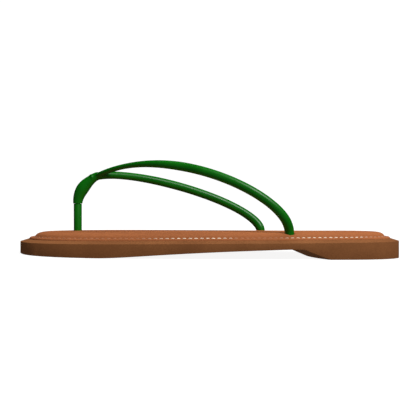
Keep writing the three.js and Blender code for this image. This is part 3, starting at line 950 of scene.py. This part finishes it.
def nose(sole, bed, strap):
    """The nose swells from its lip to the bend and narrows again to where the legs part."""
    low, split = nose_ends(sole, bed, strap)
    lip = strap.post_diameter / 2 + strap.nose_lip
    bend, end = strap.nose_diameter / 2, strap.nose_split / 2
    rough_end = low - Vector((0, 0, NOSE_TRIM))
    route = [rough_end] + bezier(low, low + NOSE_LIFT, split + NOSE_LEAN, split) + [split]
    nose_length = sum((b - a).length for a, b in zip(route, route[1:]))
    parted = nose_length / (nose_length + strap.fork)
    between = OUTER_LEG_LEAVES.normalized() + INNER_LEG_LEAVES.normalized()
    route.append(split + between.normalized() * strap.fork)

    def reach(share):
        below = lip + (bend - lip) * ease(share, 0, NOSE_BEND_SHARE * parted)
        size = below + (end - below) * ease(share, NOSE_BEND_SHARE * parted, parted)
        size -= (size - FORK_TIP) * ease(share, parted, 1)
        return Vector((1, 1, 1)) * (size + STRAP_LOSS)

    return roll_tube("nose", route, strap.steps // 3, strap.sides, reach)


def model_strap(sole, bed, strap):
    """The nose and both legs, moulded in one."""
    outer = leg("outer", sole, bed, strap, OUTER_LEG_LEAVES, OUTER_LEG_ARRIVES, strap.outer_front)
    inner = leg("inner", sole, bed, strap, INNER_LEG_LEAVES, INNER_LEG_ARRIVES, strap.inner_front)
    yoke = join("y_strap", [nose(sole, bed, strap), outer, inner])
    apply_modifier(yoke, "REMESH", mode="VOXEL", voxel_size=strap.voxel)
    apply_modifier(yoke, "SMOOTH", factor=0.5, iterations=6)
    low = nose_ends(sole, bed, strap)[0]
    spigot = strap.post_diameter / 2 - strap.spigot_shoulder
    combine(yoke, rod("trim", low, strap.nose_diameter, low.z - OVERRUN, low.z))
    combine(yoke, rod("socket", low, spigot + CLEARANCE, low.z - OVERRUN, low.z + strap.spigot))
    place(yoke, standing(sole))
    return yoke


def model_post(sole, bed, strap):
    """A straight round post from its plug up to the nose, with a spigot inside the nose."""
    spot, recess_top, diameter = footholds(sole, strap)["toe"]
    bottom = plug_bottom(strap, recess_top)
    top = footbed_top(sole, bed) + strap.post_height
    edge = POST_EDGE
    post = start_plate("toe_pillar", circle(diameter / 2, strap.sides * 2), bottom)
    climb((0, top - bottom - edge), *rounded(edge, edge, 3))
    climb((strap.spigot_shoulder - edge, 0), (0, strap.spigot - CLEARANCE))
    close_shell(post)
    place(post, standing(sole) @ Matrix.Translation((spot.x, spot.y, 0)))
    return post


def model_plug(name, sole, strap, hold):
    """A flat button with rounded edges and a raised ring, with a hole for the strap."""
    spot, recess_top, diameter = hold
    edge = PLUG_EDGE
    plug = start_plate(name + "_button", circle(strap.plug_diameter / 2, strap.sides * 2))
    climb((0, strap.plug_thickness - edge), *rounded(edge, edge, 3))
    climb((PLUG_RING, 0), (edge, -edge), (PLUG_HOLLOW, 0), (edge, edge))
    close_shell(plug)
    combine(plug, rod("hole", Vector((0, 0)), diameter / 2 + CLEARANCE, -OVERRUN, OVERRUN))
    facing_down = Matrix.Rotation(math.pi, 4, "X")
    top = Matrix.Translation((spot.x, spot.y, recess_top - CLEARANCE))
    place(plug, standing(sole) @ top @ facing_down)
    return plug


# ---- Materials: shared effects ----


def new_group(name, inputs, outputs):
    """An empty node group with its sockets, and its input and output nodes."""
    group = bpy.data.node_groups.new(name, "ShaderNodeTree")
    for socket, kind, default in inputs:
        made = group.interface.new_socket(socket, in_out="INPUT", socket_type=kind)
        if default is not None:
            made.default_value = default
    for socket, kind in outputs:
        group.interface.new_socket(socket, in_out="OUTPUT", socket_type=kind)
    return group, group.nodes.new("NodeGroupInput"), group.nodes.new("NodeGroupOutput")


def node(tree, kind, values=None, **settings):
    """Add a node with settings and socket values. A value may be another node's output."""
    made = tree.nodes.new(kind)
    for key, value in settings.items():
        setattr(made, key, value)
    for key, value in (values or {}).items():
        if isinstance(value, bpy.types.NodeSocket):
            tree.links.new(value, made.inputs[key])
        else:
            made.inputs[key].default_value = value
    return made


def mottle_group():
    """Two colours in soft patches, with finer specks in them."""
    group, entry, exit_ = new_group(
        "mottle",
        [("Vector", "NodeSocketVector", None), ("Scale", "NodeSocketFloat", 40.0),
         ("Light", "NodeSocketColor", None), ("Dark", "NodeSocketColor", None)],
        [("Color", "NodeSocketColor"), ("Value", "NodeSocketFloat")],
    )
    out = entry.outputs
    broad = {"Vector": out["Vector"], "Scale": out["Scale"], "Detail": 4.0}
    patches = node(group, "ShaderNodeTexNoise", broad)
    fine = node(group, "ShaderNodeMath", {0: out["Scale"], 1: 22.0}, operation="MULTIPLY")
    specks = node(
        group, "ShaderNodeTexNoise", {"Vector": out["Vector"], "Scale": fine.outputs[0], "Detail": 2.0}
    )
    both = node(
        group, "ShaderNodeMix", {"Factor": 0.35, "A": patches.outputs["Fac"], "B": specks.outputs["Fac"]}
    )
    share = node(
        group,
        "ShaderNodeMapRange",
        {"Value": both.outputs["Result"], "From Min": 0.36, "From Max": 0.64},
        interpolation_type="SMOOTHSTEP",
    )
    mixed = node(group, "ShaderNodeMix", data_type="RGBA")
    group.links.new(share.outputs["Result"], mixed.inputs["Factor"])
    group.links.new(out["Dark"], mixed.inputs[6])
    group.links.new(out["Light"], mixed.inputs[7])
    group.links.new(mixed.outputs[2], exit_.inputs["Color"])
    group.links.new(share.outputs["Result"], exit_.inputs["Value"])
    return group


def grain_group():
    """Pebbles with creases between them, on a slow unevenness, as a height."""
    group, entry, exit_ = new_group(
        "grain",
        [("Vector", "NodeSocketVector", None), ("Scale", "NodeSocketFloat", 900.0),
         ("Crease", "NodeSocketFloat", 0.6)],
        [("Height", "NodeSocketFloat")],
    )
    out = entry.outputs
    warp = node(group, "ShaderNodeTexNoise", {"Vector": out["Vector"], "Scale": 350.0, "Detail": 2.0})
    bent = node(
        group,
        "ShaderNodeMix",
        {"Factor": 0.0015, 4: out["Vector"], 5: warp.outputs["Color"]},
        data_type="VECTOR",
    )
    pebbles = node(
        group,
        "ShaderNodeTexVoronoi",
        {"Vector": bent.outputs[1], "Scale": out["Scale"]},
        feature="DISTANCE_TO_EDGE",
    )
    edge = node(
        group,
        "ShaderNodeMapRange",
        {"Value": pebbles.outputs["Distance"], "From Min": 0.0, "From Max": 0.25},
        interpolation_type="SMOOTHSTEP",
    )
    slow = node(group, "ShaderNodeTexNoise", {"Vector": out["Vector"], "Scale": 500.0, "Detail": 3.0})
    height = node(
        group,
        "ShaderNodeMix",
        {"Factor": out["Crease"], "A": slow.outputs["Fac"], "B": edge.outputs["Result"]},
    )
    group.links.new(height.outputs["Result"], exit_.inputs["Height"])
    return group


def shared(name, build):
    """A node group, built the first time that a material asks for it."""
    return bpy.data.node_groups.get(name) or build()


def start_material(name, roughness, **constants):
    """A material with its object coordinates ready and its constant values on the shader."""
    material = bpy.data.materials.new(name)
    material.use_nodes = True
    tree = material.node_tree
    shader = tree.nodes["Principled BSDF"]
    shader.inputs["Roughness"].default_value = roughness
    for key, value in constants.items():
        shader.inputs[key.replace("_", " ")].default_value = value
    where = node(tree, "ShaderNodeTexCoord").outputs["Object"]
    return material, tree, shader, where


def mottled(tree, where, scale, light, dark):
    """The mottle group with its values. Gives its node."""
    made = node(tree, "ShaderNodeGroup", node_tree=shared("mottle", mottle_group))
    tree.links.new(where, made.inputs["Vector"])
    made.inputs["Scale"].default_value = scale
    made.inputs["Light"].default_value = (*light, 1)
    made.inputs["Dark"].default_value = (*dark, 1)
    return made


def grained(tree, shader, where, scale, crease, strength, depth):
    """The grain group through a bump, into the shader. Gives the height's socket."""
    made = node(tree, "ShaderNodeGroup", node_tree=shared("grain", grain_group))
    tree.links.new(where, made.inputs["Vector"])
    made.inputs["Scale"].default_value = scale
    made.inputs["Crease"].default_value = crease
    height = made.outputs["Height"]
    bump = node(tree, "ShaderNodeBump", {"Strength": strength, "Distance": depth, "Height": height})
    tree.links.new(bump.outputs["Normal"], shader.inputs["Normal"])
    return height


def varied_roughness(tree, shader, value, low, high):
    """Roughness that goes from low to high as a socket goes from 0 to 1."""
    made = node(tree, "ShaderNodeMapRange", {"Value": value, "To Min": low, "To Max": high})
    tree.links.new(made.outputs["Result"], shader.inputs["Roughness"])


# ---- Materials: one for each finish ----


def sole_material(tints):
    """Moulded rubber, satin, with a fine mould texture."""
    material, tree, shader, where = start_material("moulded_rubber", 0.55, Specular_IOR_Level=0.02)
    patches = mottled(tree, where, 45, tints.sole, tints.sole_dark)
    tree.links.new(patches.outputs["Color"], shader.inputs["Base Color"])
    varied_roughness(tree, shader, patches.outputs["Value"], low=0.62, high=0.5)
    grained(tree, shader, where, scale=1500, crease=0.35, strength=0.35, depth=0.15 * MM)
    return material


def leather_material(tints):
    """Smooth leather with a fine pebble grain, with painted shade along the sunk seam, in the needle
    holes and in the grain's creases.
    """
    material, tree, shader, where = start_material("smooth_leather", 0.55, Specular_IOR_Level=0.02)
    streaks = node(tree, "ShaderNodeMapping", {"Vector": where, "Scale": (0.4, 1.4, 1.0)})
    patches = mottled(tree, streaks.outputs["Vector"], 30, tints.leather, tints.leather_dark)
    height = grained(tree, shader, where, scale=1100, crease=0.7, strength=0.5, depth=0.12 * MM)
    # Painted shade: the sunk seam, the needle holes and the grain's creases are darkened towards the seam
    # colour.
    seam = node(tree, "ShaderNodeAttribute", attribute_name="seam").outputs["Fac"]
    crease_shade = node(tree, "ShaderNodeMapRange", {"Value": height, "To Min": 0.35, "To Max": 0.0})
    shade_share = node(
        tree, "ShaderNodeMath", {0: seam, 1: crease_shade.outputs["Result"]}, operation="MAXIMUM"
    )
    darker = node(tree, "ShaderNodeMix", data_type="RGBA")
    tree.links.new(shade_share.outputs[0], darker.inputs["Factor"])
    tree.links.new(patches.outputs["Color"], darker.inputs[6])
    darker.inputs[7].default_value = (*tints.seam, 1)
    tree.links.new(darker.outputs[2], shader.inputs["Base Color"])
    varied_roughness(tree, shader, height, low=0.68, high=0.5)
    return material


def ramp_colour(value):
    """The grey of a ramp stop that stands for a number."""
    return (value, value, value, 1)


def thread_material(tints):
    """Twisted thread with fine slanting strands, worn to the leather's colour in places."""
    material, tree, shader, where = start_material("waxed_thread", 0.7, Sheen_Weight=0.2)
    patches = mottled(tree, where, 300, tints.thread, [value * 0.8 for value in tints.thread])
    along = node(tree, "ShaderNodeSeparateXYZ", {0: where}).outputs["X"]
    ends = {"Value": along, "From Min": -THREAD_SPAN, "From Max": THREAD_SPAN}
    share = node(tree, "ShaderNodeMapRange", ends)
    ramp = node(tree, "ShaderNodeValToRGB", {0: share.outputs["Result"]})
    ramp.color_ramp.elements[0].color = ramp_colour(THREAD_WEAR[0][1])
    for share_along, wear in THREAD_WEAR:
        ramp.color_ramp.elements.new(share_along).color = ramp_colour(wear)
    colours = {6: patches.outputs["Color"], 7: (*tints.thread_worn, 1)}
    worn = node(tree, "ShaderNodeMix", colours, data_type="RGBA")
    tree.links.new(ramp.outputs["Color"], worn.inputs["Factor"])
    tree.links.new(worn.outputs[2], shader.inputs["Base Color"])
    strands = node(
        tree,
        "ShaderNodeTexWave",
        {"Vector": where, "Scale": 900.0, "Distortion": 1.5, "Detail": 1.0},
        bands_direction="DIAGONAL",
    )
    bump = node(
        tree,
        "ShaderNodeBump",
        {"Strength": 0.6, "Distance": 0.08 * MM, "Height": strands.outputs["Fac"]},
    )
    tree.links.new(bump.outputs["Normal"], shader.inputs["Normal"])
    return material


def strap_material(tints):
    """Glossy moulded plastic, a little uneven to the touch."""
    material, tree, shader, where = start_material("glossy_green", 0.38, Specular_IOR_Level=0.2)
    patches = mottled(tree, where, 60, tints.strap, tints.strap_dark)
    tree.links.new(patches.outputs["Color"], shader.inputs["Base Color"])
    varied_roughness(tree, shader, patches.outputs["Value"], low=0.32, high=0.44)
    ripple = node(tree, "ShaderNodeTexNoise", {"Vector": where, "Scale": 260.0, "Detail": 3.0})
    bump = node(
        tree,
        "ShaderNodeBump",
        {"Strength": 0.25, "Distance": 0.1 * MM, "Height": ripple.outputs["Fac"]},
    )
    tree.links.new(bump.outputs["Normal"], shader.inputs["Normal"])
    return material


def plug_material(tints):
    """Dark rubber with a fine mould texture."""
    material, tree, shader, where = start_material("dark_rubber", 0.5, Specular_IOR_Level=0.25)
    patches = mottled(tree, where, 120, tints.plug, [value * 0.6 for value in tints.plug])
    tree.links.new(patches.outputs["Color"], shader.inputs["Base Color"])
    varied_roughness(tree, shader, patches.outputs["Value"], low=0.45, high=0.6)
    grained(tree, shader, where, scale=1800, crease=0.3, strength=0.3, depth=0.1 * MM)
    return material


def board_material(tints):
    """Pressed fibre board."""
    material, tree, shader, where = start_material("fibre_board", 0.9)
    patches = mottled(tree, where, 200, tints.board, [value * 0.7 for value in tints.board])
    tree.links.new(patches.outputs["Color"], shader.inputs["Base Color"])
    grained(tree, shader, where, scale=700, crease=0.2, strength=0.5, depth=0.2 * MM)
    return material


def foam_material(tints):
    """Open-celled foam."""
    material, tree, shader, where = start_material("soft_foam", 0.95)
    patches = mottled(tree, where, 150, tints.foam, [value * 0.85 for value in tints.foam])
    tree.links.new(patches.outputs["Color"], shader.inputs["Base Color"])
    grained(tree, shader, where, scale=1400, crease=0.9, strength=0.8, depth=0.4 * MM)
    return material


def floor_material(tints, glow):
    """A pale light table. It glows evenly, and a little less round the sandal, so a shadow shows."""
    material, tree, shader, where = start_material("light_table", 0.9, Emission_Strength=1.0)
    shader.inputs["Base Color"].default_value = (*[value * FLOOR_PAPER for value in tints.floor], 1)
    away = node(tree, "ShaderNodeVectorMath", {0: where}, operation="LENGTH")
    spread = {"Value": away.outputs["Value"], "From Min": GLOW_NEAR, "From Max": GLOW_FAR, "To Min": glow}
    share = node(tree, "ShaderNodeMapRange", spread, interpolation_type="SMOOTHSTEP")
    tree.links.new(share.outputs["Result"], shader.inputs["Emission Color"])
    return material


# ---- Operators: one for each piece or group of like pieces ----


def smooth(piece, degrees):
    only(piece)
    bpy.ops.object.shade_smooth_by_angle(angle=math.radians(degrees))


class SANDAL_OT_outsole(Operator):
    """Model the moulded sole with its rim, seat, heel, arch and tread"""

    bl_idname = "sandal.outsole"
    bl_label = "Outsole"

    def execute(self, context):
        scene = context.scene
        piece = model_outsole(scene.sandal_sole, scene.sandal_strap)
        smooth(piece, 35)
        hand_over(piece, sole_material(scene.sandal_finishes), "sole_rubber", "outsole")
        return {"FINISHED"}


class SANDAL_OT_footbed(Operator):
    """Model the leather cover with the foam pad under it, and finish the board"""

    bl_idname = "sandal.footbed"
    bl_label = "Footbed"

    def execute(self, context):
        scene = context.scene
        sizes = scene.sandal_sole, scene.sandal_bed, scene.sandal_strap
        cover = model_cover(*sizes)
        smooth(cover, 60)
        hand_over(cover, leather_material(scene.sandal_finishes), "footbed_leather", "footbed_cover")
        pad = model_pad(*sizes)
        smooth(pad, 40)
        hand_over(pad, foam_material(scene.sandal_finishes), "foam", "footbed_pad")
        board = bpy.data.objects["insole_board"]
        board.material_slots[0].material = board_material(scene.sandal_finishes)
        return {"FINISHED"}


class SANDAL_OT_stitches(Operator):
    """Sew the white stitches round the footbed's flange"""

    bl_idname = "sandal.stitches"
    bl_label = "Stitches"

    def execute(self, context):
        scene = context.scene
        row = model_stitches(scene.sandal_sole, scene.sandal_bed)
        smooth(row, 60)
        hand_over(row, thread_material(scene.sandal_finishes), "thread", "edge_stitching")
        return {"FINISHED"}


class SANDAL_OT_strap(Operator):
    """Model the toe post and the Y strap with its two legs"""

    bl_idname = "sandal.strap"
    bl_label = "Strap"

    def execute(self, context):
        scene = context.scene
        sizes = scene.sandal_sole, scene.sandal_bed, scene.sandal_strap
        shine = strap_material(scene.sandal_finishes)
        yoke = model_strap(*sizes)
        smooth(yoke, 50)
        hand_over(yoke, shine, "strap_gloss", "strap_yoke")
        post = model_post(*sizes)
        smooth(post, 50)
        hand_over(post, shine, "strap_gloss", "toe_post")
        return {"FINISHED"}


class SANDAL_OT_plugs(Operator):
    """Model the three buttons that hold the strap under the sole"""

    bl_idname = "sandal.plugs"
    bl_label = "Plugs"

    def execute(self, context):
        scene = context.scene
        rubber = plug_material(scene.sandal_finishes)
        for name, hold in footholds(scene.sandal_sole, scene.sandal_strap).items():
            plug = model_plug(name, scene.sandal_sole, scene.sandal_strap, hold)
            smooth(plug, 40)
            hand_over(plug, rubber, "plug_rubber", name + "_plug")
        return {"FINISHED"}


class SANDAL_OT_stage(Operator):
    """Set up the pale floor, the soft lights and the camera"""

    bl_idname = "sandal.stage"
    bl_label = "Stage"

    def execute(self, context):
        scene = context.scene
        studio = scene.sandal_studio
        floor = studio_floor()
        floor.data.materials.append(floor_material(scene.sandal_finishes, studio.glow))
        soft_light("key_light", KEY_SPOT, KEY_SIZE, studio.key)
        soft_light("top_light", TOP_SPOT, TOP_SIZE, studio.top).visible_glossy = False
        surroundings(scene, studio.sky)
        scene.view_settings.view_transform = "Standard"
        aim_camera(scene)
        return {"FINISHED"}


def studio_floor():
    """A level sheet whose far edge curves up into a backdrop."""
    bare()
    bpy.ops.mesh.primitive_plane_add(size=FLOOR_SIZE)
    floor = named("studio_floor")
    bpy.ops.object.mode_set(mode="EDIT")
    bpy.ops.mesh.select_mode(type="EDGE")
    bpy.ops.mesh.select_all(action="DESELECT")
    bpy.ops.object.mode_set(mode="OBJECT")
    back = FLOOR_SIZE / 2 - OVERRUN
    for edge in floor.data.edges:
        edge.select = all(floor.data.vertices[index].co.y > back for index in edge.vertices)
    bpy.ops.object.mode_set(mode="EDIT")
    bpy.ops.mesh.extrude_region_move(TRANSFORM_OT_translate={"value": (0, 0, BACKDROP_HEIGHT)})
    bpy.ops.object.mode_set(mode="OBJECT")
    apply_modifier(floor, "BEVEL", width=BACKDROP_CURVE, segments=12, limit_method="ANGLE")
    smooth(floor, 60)
    floor.visible_diffuse = False
    floor.visible_glossy = False
    return floor


def soft_light(name, spot, size, power):
    """A square area light aimed at the sandal."""
    bare()
    bpy.ops.object.light_add(type="AREA", location=spot)
    light = named(name)
    light.data.energy = power
    light.data.size = size
    light.rotation_euler = (-Vector(spot)).to_track_quat("-Z", "Y").to_euler()
    return light


def surroundings(scene, strength):
    """Soft white light, stronger from the glowing floor, dim in reflections and white to look at."""
    world = bpy.data.worlds.new("surroundings")
    world.use_nodes = True
    tree = world.node_tree
    ray = node(tree, "ShaderNodeLightPath").outputs
    towards = node(tree, "ShaderNodeTexCoord").outputs["Generated"]
    up = node(tree, "ShaderNodeSeparateXYZ", {0: towards}).outputs["Z"]
    light = blend(tree, up, strength * FLOOR_LIGHT, strength, low=-SKY_EDGE, high=SKY_EDGE)
    light = blend(tree, ray["Is Glossy Ray"], light, strength * MIRRORED_SKY)
    light = blend(tree, ray["Is Camera Ray"], light, 1.0)
    background = tree.nodes["Background"]
    background.inputs["Color"].default_value = (1, 1, 1, 1)
    tree.links.new(light, background.inputs["Strength"])
    scene.world = world


def blend(tree, share, first, second, low=0.0, high=1.0):
    """A number that goes from the first to the second as a share goes from low to high."""
    values = {"Value": share, "From Min": low, "From Max": high, "To Min": first, "To Max": second}
    return node(tree, "ShaderNodeMapRange", values).outputs["Result"]


def aim_camera(scene):
    """Look square at the outer side, level with the sole's rim plane."""
    studio = scene.sandal_studio
    bare()
    bpy.ops.object.camera_add()
    camera = named("camera")
    camera.data.angle = studio.field
    camera.data.clip_start = 0.01
    spot = Matrix.Translation((studio.aside, -studio.distance, studio.eye))
    camera.matrix_world = standing(scene.sandal_sole) @ spot @ Matrix.Rotation(math.pi / 2, 4, "X")
    scene.camera = camera


class SANDAL_PT_panel(Panel):
    """The sandal's steps and its sizes"""

    bl_idname = "SANDAL_PT_panel"
    bl_label = "Thong sandal"
    bl_space_type = "VIEW_3D"
    bl_region_type = "UI"
    bl_category = "Sandal"

    def draw(self, context):
        for operator in OPERATORS:
            self.layout.operator(operator.bl_idname)
        for name in GROUPS:
            group = getattr(context.scene, name)
            box = self.layout.box()
            for key in group.__annotations__:
                box.prop(group, key)


GROUPS = {
    "sandal_sole": SoleSizes,
    "sandal_bed": FootbedSizes,
    "sandal_strap": StrapSizes,
    "sandal_finishes": Finishes,
    "sandal_studio": Studio,
}
OPERATORS = [
    SANDAL_OT_outsole,
    SANDAL_OT_footbed,
    SANDAL_OT_stitches,
    SANDAL_OT_strap,
    SANDAL_OT_plugs,
    SANDAL_OT_stage,
]


def register():
    for item in [*GROUPS.values(), *OPERATORS, SANDAL_PT_panel]:
        bpy.utils.register_class(item)
    for name, group in GROUPS.items():
        setattr(bpy.types.Scene, name, PointerProperty(type=group))


def unregister():
    for name in GROUPS:
        delattr(bpy.types.Scene, name)
    for item in [SANDAL_PT_panel, *reversed(OPERATORS), *reversed(GROUPS.values())]:
        bpy.utils.unregister_class(item)


def main():
    register()
    for operator in OPERATORS:
        getattr(bpy.ops.sandal, operator.bl_idname.split(".")[1])()


if __name__ == "__main__":
    main()
